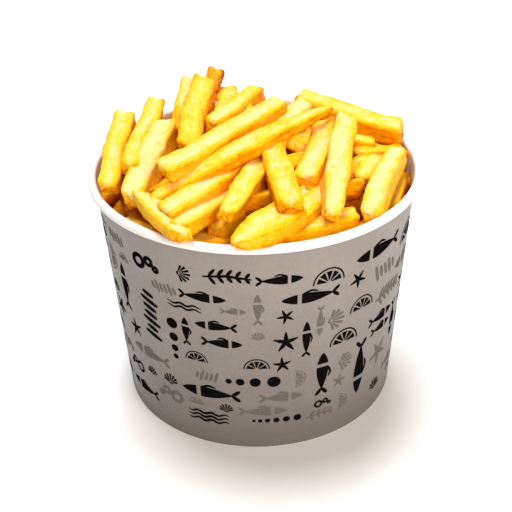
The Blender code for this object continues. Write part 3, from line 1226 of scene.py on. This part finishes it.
TOP_FRIES = (
    Fry("top_diagonal", (-0.0295, -0.0315, 0.1), (0.0095, 0.011, 0.1045), 0.0074, 0.0058, roll=12,
        bow=-0.001),
    Fry("top_behind", (-0.014, 0.000, 0.100), (0.002, 0.036, 0.098), 0.0068, 0.0066,
        burnt_head=0.2),
    Fry("long_diagonal", (-0.033, -0.037, 0.0925), (0.0272, 0.0068, 0.1045), 0.0074, 0.0052,
        roll=12, bow=0.001, foot_size=0.55, head_size=0.3, tone=0.04),
    # Its browner tone is painted shade of the gap between the diagonals.
    Fry("under_diagonal", (-0.031, -0.037, 0.088), (0.004, -0.010, 0.0945), 0.0062, 0.0052, tone=0.2),
    Fry("middle_diagonal", (-0.0285, -0.046, 0.0922), (0.0005, -0.0082, 0.0942), 0.0080, 0.0060,
        roll=8, head_size=0.4),
)
FRONT_FRIES = (
    Fry("front_left", (-0.024, -0.052, 0.0905), (-0.006, -0.022, 0.088), 0.0092, 0.0060,
        foot_size=0.8, tone=-0.05),
    Fry("front_centre", (-0.010, -0.050, 0.094), (0.003, -0.009, 0.092), 0.0082, 0.0066, roll=10,
        foot_size=0.75),
    Fry("short_centre", (0.0105, -0.0475, 0.0945), (0.0055, -0.0095, 0.0975), 0.0088, 0.0056, roll=-6,
        head_size=0.8),
    Fry("front_tip", (-0.0066, -0.0612, 0.0890), (0.0135, -0.0395, 0.0905), 0.0112, 0.0066,
        foot_size=0.35, head_size=0.85),
    Fry("front_low", (-0.013, -0.044, 0.083), (0.003, -0.016, 0.086), 0.0080, 0.0076, tone=0.15),
    Fry("front_right_low", (0.010, -0.047, 0.086), (0.025, -0.028, 0.089), 0.0080, 0.0068),
    Fry("rim_right", (0.008, -0.048, 0.083), (0.032, -0.038, 0.084), 0.0080, 0.0072, tone=0.1),
    Fry("front_wall", (-0.034, -0.040, 0.079), (-0.004, -0.046, 0.080), 0.0078, 0.0072, tone=0.2),
    Fry("centre_stub", (0.0155, -0.032, 0.088), (0.023, -0.024, 0.091), 0.0072, 0.0066),
)
RIGHT_FRIES = (
    # Its burnt head is painted shade: that end lies in the shadow of long_diagonal.
    Fry("right_of_centre", (0.0164, -0.0285, 0.0945), (0.0257, 0.0085, 0.097), 0.0088, 0.0054, roll=-10,
        tone=-0.05, burnt_head=0.3),
    Fry("tall_right", (0.0228, -0.048, 0.092), (0.032, 0.007, 0.098), 0.0088, 0.0076, roll=22,
        foot_size=0.6, tone=-0.04),
    Fry("far_right", (0.0162, 0.0335, 0.0965), (0.0528, 0.0115, 0.0908), 0.0086, 0.0068, roll=4,
        bow=-0.001, head_size=1.05, burnt_head=0.05),
    Fry("right_behind", (0.034, 0.000, 0.0876), (0.051, 0.006, 0.0846), 0.0078, 0.0074, tone=0.2),
    Fry("right_stub", (0.0365, -0.0175, 0.0872), (0.0436, -0.002, 0.0865), 0.0078, 0.0074, tone=0.12),
    Fry("right_front", (0.0362, -0.0402, 0.0858), (0.0500, -0.001, 0.0895), 0.0070, 0.0062, roll=-8,
        bow=0.0015, tone=-0.05),
    # Its browner tone is painted shade: it lies deep in the gap at the right.
    Fry("right_under", (0.022, -0.020, 0.085), (0.040, -0.024, 0.080), 0.0074, 0.0072, tone=0.35),
    Fry("right_wall", (0.045, -0.024, 0.080), (0.049, -0.002, 0.080), 0.0070, 0.0066, tone=0.15),
)


@dataclass(frozen=True)
class Layer:
    """One layer of the crust's relief. All but its depth is in millimetres of the fry's own space."""

    depth: float
    size: float
    shift: float = 0.0
    stretch: float = 1.0


@dataclass(frozen=True)
class StickDetail:
    """How finely a fry's mesh is cut, and how far it departs from a straight, square stick."""

    stations: int
    arc_points: int
    side_points: int
    corner: float = 0.0012
    corner_room: float = 0.45
    end_round: float = 0.0016
    hollow: float = 0.0003
    slant: float = 0.35
    slant_reach: float = 0.004
    skew: float = 0.16
    twist: float = math.radians(11)
    uneven: float = 0.09
    thinning: float = 0.4
    thinning_ease: float = 0.8
    sway: float = 0.0009
    sway_sizes: Pair = (17.0, 21.0)
    sway_shift: float = 50.0
    layers: tuple[Layer, ...] = (Layer(0.00027, 4.5), Layer(0.00027 * 0.45, 1.7, 80.0),
                                 Layer(0.00018, 1.6, 240.0, 0.22), Layer(0.00009, 0.7, 160.0))


@dataclass(frozen=True)
class BrowningAndPaintedShade:
    """How much browner the crust is at a fry's edges and ends and towards a burnt head, and how much painted
    shade browns its sides and underside.
    """

    edge: float = 0.18
    edge_ease: float = 4.0
    edge_side: float = 0.8
    ends: float = 0.1
    ends_reach: float = 0.0016
    # Painted shade: sides and undersides are browned by how far they face down, as shade would darken them.
    shade: float = 0.42
    burnt_from: float = 0.35


FINE = StickDetail(stations=46, arc_points=4, side_points=5)
COARSE = StickDetail(stations=20, arc_points=2, side_points=3)


class StickMaker:
    """Makes the mesh of one fry: vertices, faces, browning with painted shade, and the fry's own space."""

    QUARTERS = ((1, 1), (-1, 1), (-1, -1), (1, -1))
    CAP_SHARES = (0.3, 0.72)
    BEND_STEPS = 3
    SPACE_RANGE: Range = (-400.0, 400.0)

    def __init__(self, fry: Fry, detail: StickDetail, browning_and_painted_shade: BrowningAndPaintedShade = BrowningAndPaintedShade()) -> None:
        """Works out the fry's own directions and its seeded draws.

        Args:
            fry: the fry.
            detail: how finely it is cut.
            browning_and_painted_shade: how it browns, and how much painted shade its sides and underside
                take.
        """
        self.fry = fry
        self.detail = detail
        self.browning_and_painted_shade = browning_and_painted_shade
        self.draw = random.Random(fry.name)
        self.foot = np.array(fry.foot)
        head = np.array(fry.head)
        self.length = float(np.linalg.norm(head - self.foot))
        self.along = (head - self.foot) / self.length
        across = np.cross(self.along, (0.0, 0.0, 1.0))
        across /= np.linalg.norm(across)
        turn = math.radians(fry.roll)
        self.across = across * math.cos(turn) + np.cross(self.along, across) * math.sin(turn)
        self.up = np.cross(self.across, self.along)
        self.slants = (self.swing(detail.slant), self.swing(detail.slant))
        self.origin = np.array([self.draw.uniform(*self.SPACE_RANGE) for _ in range(3)])
        self.rises = (self.swing(detail.slant), self.swing(detail.slant))
        self.skew = self.swing(detail.skew)
        self.twist = self.swing(detail.twist)
        self.uneven = self.swing(detail.uneven)

    def swing(self, limit: float) -> float:
        """A random value up to a limit on both sides of zero."""
        return self.draw.uniform(-limit, limit)

    def section(self) -> tuple[np.ndarray, np.ndarray]:
        """The fry's cut section.

        Returns:
            The points round the section, and how close each is to a corner, from 0 to 1.
        """
        detail = self.detail
        half = np.array([self.fry.wide, self.fry.thick]) / 2
        corner = min(detail.corner, half.min() * detail.corner_room)
        points = []
        edge = []
        for quarter, signs in enumerate(np.array(self.QUARTERS)):
            middle = signs * (half - corner)
            for step in range(detail.arc_points):
                angle = quarter * math.pi / 2 + math.pi / 2 * step / (detail.arc_points - 1)
                points.append(middle + corner * np.array([math.cos(angle), math.sin(angle)]))
                edge.append(1.0)
            axis = quarter % 2
            for step in range(1, detail.side_points + 1):
                share = 1 - 2 * step / (detail.side_points + 1)
                spot = middle.copy()
                spot[axis] = signs[axis] * (half[axis] - corner) * share
                spot[1 - axis] = signs[1 - axis] * (half[1 - axis] - detail.hollow * (1 - share**2))
                points.append(spot)
                edge.append(abs(share) ** self.browning_and_painted_shade.edge_ease * self.browning_and_painted_shade.edge_side)
        return np.array(points), np.array(edge)

    def girth(self, run: float) -> float:
        """How full the section is along the fry: it thins, or flares, towards each end.

        Args:
            run: how far along, from 0 to 1.

        Returns:
            The share of the full section.
        """
        full = 1.0
        for size, away in ((self.fry.foot_size, run), (self.fry.head_size, 1 - run)):
            share = min(1.0, away / self.detail.thinning) ** self.detail.thinning_ease
            full *= size + (1 - size) * share
        return full

    def stations(self) -> tuple[np.ndarray, np.ndarray, np.ndarray]:
        """The rings along the fry, with its rounded ends and the rings inside its two cut faces.

        Returns:
            How far along each ring is, how far its corners are rounded in, and its share of the section.
        """
        detail = self.detail
        bend = np.linspace(0, math.pi / 2, self.BEND_STEPS + 1)[:-1]
        inside = np.full(len(self.CAP_SHARES), detail.end_round)
        rounded = np.concatenate([inside, detail.end_round * (1 - np.sin(bend))])
        ahead = np.concatenate([0 * inside, detail.end_round * (1 - np.cos(bend))])
        share = np.concatenate([self.CAP_SHARES, np.ones(len(bend))])
        middle = np.linspace(detail.end_round, self.length - detail.end_round, detail.stations)
        places = np.concatenate([ahead, middle, (self.length - ahead)[::-1]])
        inset = np.concatenate([rounded, np.zeros(len(middle)), rounded[::-1]])
        return places, inset, np.concatenate([share, np.ones(len(middle)), share[::-1]])

    def make(self) -> tuple[np.ndarray, list[Face], np.ndarray, np.ndarray]:
        """Builds the fry.

        Returns:
            Its points, its faces, its browning with painted shade at each point and each point's place in the
            fry's own space.
        """
        detail = self.detail
        brown = self.browning_and_painted_shade
        section, edge = self.section()
        reach = np.linalg.norm(section, axis=1)
        away = section[:, :1] * self.across + section[:, 1:] * self.up
        # Painted shade: how far each point of the section faces down, 0 on top up to 1 on the sides and
        # below.
        under = np.minimum(1, 1 - away[:, 2] / reach)
        rows = []
        spaces = []
        tones = []
        for place, inset, share in zip(*self.stations()):
            run = min(1.0, max(0.0, place / self.length))
            end = min(place, self.length - place)
            half = int(run >= 0.5)
            shape = section * self.girth(run) * share * (1 - inset / reach)[:, None]
            shape = self.turned(shape, self.twist * (run - 0.5)) * (1 + self.uneven * (1 - 2 * run))
            sink = detail.hollow * (1 - 2 * half) if share < 1 else 0.0
            centre = self.foot + self.along * (place + sink)
            centre = centre + self.up * self.fry.bow * math.sin(math.pi * run)
            near_end = math.exp(-end / detail.slant_reach)
            slant = shape @ np.array([self.slants[half], self.rises[half]]) * near_end
            rows.append(centre + shape[:, :1] * self.across + shape[:, 1:] * self.up
                        + slant[:, None] * self.along)
            spaces.append(np.column_stack([np.full(len(shape), place), shape]) * MM + self.origin)
            burnt = self.fry.burnt_head * max(0.0, run - brown.burnt_from) / (1 - brown.burnt_from)
            ends = brown.ends * math.exp(-end / brown.ends_reach)
            # The last term is painted shade on the faces that turn sideways and down.
            tones.append(self.fry.tone + brown.edge * edge + ends + burnt + brown.shade * under)
        space = np.concatenate(spaces)
        points = self.roughen(np.concatenate(rows), space)
        faces = tube_faces(len(section), len(rows), flipped=True)
        return points, faces, np.concatenate(tones), space

    def turned(self, shape: np.ndarray, turn: float) -> np.ndarray:
        """Skews a section and turns it about the fry's own line.

        Args:
            shape: the points of the section.
            turn: the angle.

        Returns:
            The new points.
        """
        skewed = shape + shape[:, ::-1] * self.skew
        spin = np.array([[math.cos(turn), math.sin(turn)], [-math.sin(turn), math.cos(turn)]])
        return skewed @ spin

    def roughen(self, points: np.ndarray, space: np.ndarray) -> np.ndarray:
        """Bends the fry a little and raises its lumps, grooves and grain, then holds it inside the tub.

        Args:
            points: the fry's points.
            space: their places in the fry's own space.

        Returns:
            The moved points.
        """
        detail = self.detail
        own = space - self.origin
        away = own[:, 1:2] * self.across + own[:, 2:3] * self.up
        away /= np.maximum(np.linalg.norm(away, axis=1, keepdims=True), TINY)
        line = self.origin + own * np.array([1.0, 0.0, 0.0])
        sideways = RELIEF.at(line, detail.sway_sizes[0])[:, None] * self.across
        upwards = RELIEF.at(line + detail.sway_shift, detail.sway_sizes[1])[:, None] * self.up
        rise = np.zeros(len(points))
        for layer in detail.layers:
            drawn_out = space * np.array([layer.stretch, 1.0, 1.0]) + layer.shift
            rise += RELIEF.at(drawn_out, layer.size) * layer.depth
        return TUB.hold(points + (sideways + upwards) * detail.sway + away * rise[:, None])


def golden_spot(index: int, count: int, edge: float) -> tuple[float, float, float]:
    """A place of a golden-angle spread about the tub's axis.

    Args:
        index: the number of the place.
        count: how many places there are.
        edge: the distance of the outermost ones from the axis.

    Returns:
        Its x and y, and its distance from the axis.
    """
    reach = edge * math.sqrt((index + 0.5) / count)
    angle = index * GOLDEN_ANGLE
    return reach * math.cos(angle), reach * math.sin(angle), reach


@dataclass
class Heap:
    """The fries: those that show, the bed under them, the deeper ones and a rough core."""

    edge_height: float = 0.076
    sides: Range = (0.0068, 0.0084)
    largest_roll: float = 30.0
    tone_swing: Range = (-0.06, 0.08)
    bed_lift: float = 0.0035
    bed_dome: float = 0.012
    bed_count: int = 14
    bed_seed: int = 11
    bed_reach: float = 0.0355
    bed_lengths: Range = (0.032, 0.048)
    bed_tilt: float = 0.08
    # Painted shade: the bed fries under the top ones are browned as their shade.
    bed_painted_shade: float = 0.2
    fan_count: int = 8
    fan_start: float = math.radians(15)
    fan_sweep: float = math.radians(140)
    fan_place: Range = (0.3, 0.7)
    fan_turn: float = 0.9
    fan_rise: float = 0.22
    fan_reach: float = 0.0495
    fan_lift: float = 0.004
    fan_lengths: Range = (0.034, 0.046)
    # Painted shade: the fan fries round the back of the wall are browned as their shade.
    fan_painted_shade: float = 0.1
    deep_count: int = 64
    deep_seed: int = 23
    deep_reach: float = 0.052
    deep_heights: Range = (0.062, 0.0765)
    deep_dome: float = 0.006
    deep_tilt: float = 0.1
    deep_lengths: Range = (0.036, 0.052)
    # Painted shade: the deep fries are browned further, as the shade in the gaps.
    deep_painted_shade: float = 0.36
    core_floor: float = 0.0078
    core_gap: float = 0.0008
    core_edge: float = 0.064
    core_top: float = 0.078
    core_rings: int = 36
    core_segments: int = 120
    core_floor_shares: tuple[float, ...] = (0.02, 0.5, 1.0)
    core_fade: float = 0.003
    core_lump: float = 0.0035
    core_lump_size: float = 8.0
    # Painted shade: the core is browned most, as the dark bottom of every gap.
    core_painted_shade: float = 0.66

    def build(self) -> None:
        """Builds the heap in four pieces and hides the imported fries solid."""
        crust = PotatoFinish().make()
        shown = LEFT_FRIES + BACK_FRIES + TOP_FRIES + FRONT_FRIES + RIGHT_FRIES
        top = self.join("fries_on_top", shown, FINE, crust)
        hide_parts("fries")
        self.join("fries_in_bed", self.bed_fries(), FINE, crust)
        self.join("fries_below", self.deep_fries(), COARSE, crust)
        self.core(crust)

    def rule_fry(self, name: str, draw: random.Random, middle: Vector, way: Vector, lengths: Range,
                 tone: float) -> Fry:
        """A fry about a middle point, with its length, cut sides and roll drawn.

        Args:
            name: its name, which seeds its own draws.
            draw: the random draws.
            middle: its middle.
            way: its direction.
            lengths: its shortest and greatest length.
            tone: how browned it is, which here is the painted shade of its layer.

        Returns:
            The fry.
        """
        half = way * draw.uniform(*lengths) / 2
        wide = draw.uniform(*self.sides)
        thick = draw.uniform(*self.sides)
        roll = draw.uniform(-self.largest_roll, self.largest_roll)
        return Fry(name, tuple(middle - half), tuple(middle + half), wide, thick, roll, tone=tone)

    def bed_fries(self) -> list[Fry]:
        """The bed: fries spread by the golden angle, then a fan round the back of the wall.

        Returns:
            The fries.
        """
        draw = random.Random(self.bed_seed)
        fries = []
        for index in range(self.bed_count):
            across, back, reach = golden_spot(index, self.bed_count, self.bed_reach)
            heading = draw.uniform(0, math.pi)
            dome = self.bed_dome * math.cos(min(1, reach / TUB.rim_radius) * math.pi / 2)
            middle = Vector((across, back, self.edge_height + self.bed_lift + dome))
            way = Vector((math.cos(heading), math.sin(heading), draw.uniform(-self.bed_tilt, self.bed_tilt)))
            fries.append(self.rule_fry(f"filler_{index}", draw, middle, way, self.bed_lengths, self.bed_painted_shade))
        for index in range(self.fan_count):
            angle = self.fan_start + self.fan_sweep * (index + draw.uniform(*self.fan_place)) / self.fan_count
            heading = angle + math.pi + draw.uniform(-self.fan_turn, self.fan_turn)
            way = Vector((math.cos(heading), math.sin(heading), self.fan_rise))
            foot = Vector((self.fan_reach * math.cos(angle), self.fan_reach * math.sin(angle),
                           self.edge_height + self.fan_lift))
            middle = foot + way * self.fan_lengths[0] / 2
            fries.append(self.rule_fry(f"fan_{index}", draw, middle, way, self.fan_lengths, self.fan_painted_shade))
        return fries

    def deep_fries(self) -> list[Fry]:
        """The fries lower down, which show only through the gaps.

        Returns:
            The fries.
        """
        draw = random.Random(self.deep_seed)
        fries = []
        for index in range(self.deep_count):
            across, back, reach = golden_spot(index, self.deep_count, self.deep_reach)
            heading = draw.uniform(0, math.pi)
            height = draw.uniform(*self.deep_heights) + self.deep_dome * (1 - reach / TUB.rim_radius)
            tilt = draw.uniform(-self.deep_tilt, self.deep_tilt)
            way = Vector((math.cos(heading), math.sin(heading), tilt))
            fries.append(self.rule_fry(f"deep_{index}", draw, Vector((across, back, height)), way,
                                       self.deep_lengths, self.deep_painted_shade))
        return fries

    def join(self, name: str, fries: Iterable[Fry], detail: StickDetail, crust: Material) -> bpy.types.Object:
        """Makes one piece of many fries.

        Args:
            name: the piece's name.
            fries: the fries that it holds.
            detail: how finely each is cut.
            crust: the potato's material.

        Returns:
            The piece.
        """
        points, faces, tones, spaces = [], [], [], []
        start = 0
        for fry in fries:
            maker = StickMaker(fry, detail)
            own_points, own_faces, own_tones, own_space = maker.make()
            points.append(own_points)
            faces.extend(tuple(start + index for index in face) for face in own_faces)
            tones.append(own_tones + maker.draw.uniform(*self.tone_swing))
            spaces.append(own_space)
            start += len(own_points)
        made = add_mesh(name, np.concatenate(points), faces, [crust])
        dress_potato(made, np.concatenate(tones), np.concatenate(spaces))
        return made

    def core(self, crust: Material) -> None:
        """Builds the rough body of packed fries at the bottom of every gap, browned dark as painted shade.

        Args:
            crust: the potato's material.
        """
        room = TUB.paper + TUB.clearance
        edge_radius = float(TUB.outside(self.core_edge)) - room
        floor_radius = float(TUB.outside(self.core_floor)) - room - self.core_gap
        outline = [(floor_radius * share, self.core_floor) for share in self.core_floor_shares]
        outline += [(floor_radius + (edge_radius - floor_radius) * share,
                     self.core_floor + (self.core_edge - self.core_floor) * share) for share in (0.5, 1.0)]
        for step in range(1, self.core_rings):
            share = 1 - step / self.core_rings
            rise = (self.core_top - self.core_edge) * math.cos(share * math.pi / 2)
            outline.append((edge_radius * share, self.core_edge + rise))
        turns = [2 * math.pi * step / self.core_segments for step in range(self.core_segments)]
        points = np.array([(radius * math.cos(angle), radius * math.sin(angle), height)
                           for radius, height in outline for angle in turns])
        upper = np.clip((points[:, 2] - self.core_edge) / self.core_fade, 0, 1)
        points[:, 2] += upper * RELIEF.at(points * MM, self.core_lump_size) * self.core_lump
        faces = tube_faces(self.core_segments, len(outline))
        made = add_mesh("heap_core", points, faces, [crust])
        # The core's browning is painted shade of the gaps.
        dress_potato(made, np.full(len(points), self.core_painted_shade), points * MM)


@dataclass
class Studio:
    """The pale floor, the soft lights and the camera at the photograph's angle."""

    lens: float = 78.77
    sensor: float = 36.0
    camera_place: Point = (0.0, -0.3521, 0.2630)
    yaw: float = math.radians(-0.073)
    pitch: float = math.radians(31.336)
    tilt: float = math.radians(1.403)
    floor_half: float = 12.0
    floor_drop: float = 0.0002
    floor_colour: Colour = (0.9, 0.9, 0.9)
    floor_roughness: float = 0.9
    target: Point = (0.0, 0.0, 0.07)
    white: Colour = (1.0, 1.0, 1.0)
    key_strength: float = 2.9
    key_spread: float = math.radians(26)
    key_place: Point = (-0.08, 0.16, 0.85)
    sheen_energy: float = 3.6
    sheen_size: float = 0.5
    sheen_place: Point = (0.10, 0.80, 0.55)
    fill_energy: float = 6.0
    fill_size: float = 0.6
    fill_place: Point = (0.30, -0.66, 0.55)
    fill_colour: Colour = (1.0, 0.90, 0.79)
    sky: float = 0.13

    def build(self) -> None:
        """Builds the floor, the lights and the camera."""
        self.floor()
        self.light("key", "SUN", self.key_place, energy=self.key_strength, angle=self.key_spread)
        self.light("sheen_softbox", "AREA", self.sheen_place, energy=self.sheen_energy, size=self.sheen_size,
                   color=self.white)
        self.light("fill_softbox", "AREA", self.fill_place, energy=self.fill_energy, size=self.fill_size,
                   color=self.fill_colour)
        self.world()
        self.camera()
        bpy.context.scene.view_settings.view_transform = "Standard"
        LOG.info("studio: floor, a broad key light, two softboxes and a camera")

    def floor(self) -> None:
        """Builds the pale floor."""
        half = self.floor_half
        data = bpy.data.meshes.new("floor")
        data.from_pydata([(-half, -half, 0), (half, -half, 0), (half, half, 0), (-half, half, 0)], [],
                         [(0, 1, 2, 3)])
        graph = Graph("pale_floor")
        graph.surface({"Base Color": self.floor_colour, "Roughness": self.floor_roughness})
        data.materials.append(graph.material)
        made = bpy.data.objects.new("floor", data)
        made.location.z = -self.floor_drop
        bpy.context.scene.collection.objects.link(made)

    def light(self, name: str, kind: str, place: Point, **settings: object) -> None:
        """Adds a light that faces the middle of the heap.

        Args:
            name: its name.
            kind: the kind of light.
            place: where it is.
            settings: its properties.
        """
        data = bpy.data.lights.new(name, kind)
        for key, value in settings.items():
            setattr(data, key, value)
        made = bpy.data.objects.new(name, data)
        made.location = place
        made.rotation_euler = (Vector(self.target) - Vector(place)).to_track_quat("-Z", "Y").to_euler()
        bpy.context.scene.collection.objects.link(made)

    def world(self) -> None:
        """Adds the even light of the room."""
        world = bpy.data.worlds.new("room")
        world.use_nodes = True
        background = world.node_tree.nodes["Background"]
        background.inputs["Color"].default_value = (*self.white, 1.0)
        background.inputs["Strength"].default_value = self.sky
        bpy.context.scene.world = world

    def camera(self) -> None:
        """Adds the camera, by its yaw, its pitch and its tilt about its own line of sight."""
        data = bpy.data.cameras.new("camera")
        data.lens = self.lens
        data.sensor_width = self.sensor
        level = math.cos(self.pitch)
        forward = Vector((math.sin(self.yaw) * level, math.cos(self.yaw) * level, -math.sin(self.pitch)))
        right = Vector((math.cos(self.yaw), -math.sin(self.yaw), 0))
        up = right.cross(forward)
        turned_right = right * math.cos(self.tilt) - up * math.sin(self.tilt)
        turned_up = right * math.sin(self.tilt) + up * math.cos(self.tilt)
        made = bpy.data.objects.new("camera", data)
        made.matrix_world = Matrix.Translation(self.camera_place) @ Matrix(
            (turned_right, turned_up, -forward)).transposed().to_4x4()
        bpy.context.scene.collection.objects.link(made)
        bpy.context.scene.camera = made


def main() -> None:
    """Builds the studio, the tub, its print and the heap, in that order."""
    logging.basicConfig(level=logging.INFO, format="%(name)s: %(message)s")
    Studio().build()
    tub = Tub()
    tub.build()
    Print().build(tub.seam())
    Heap().build()


if __name__ == "__main__":
    main()
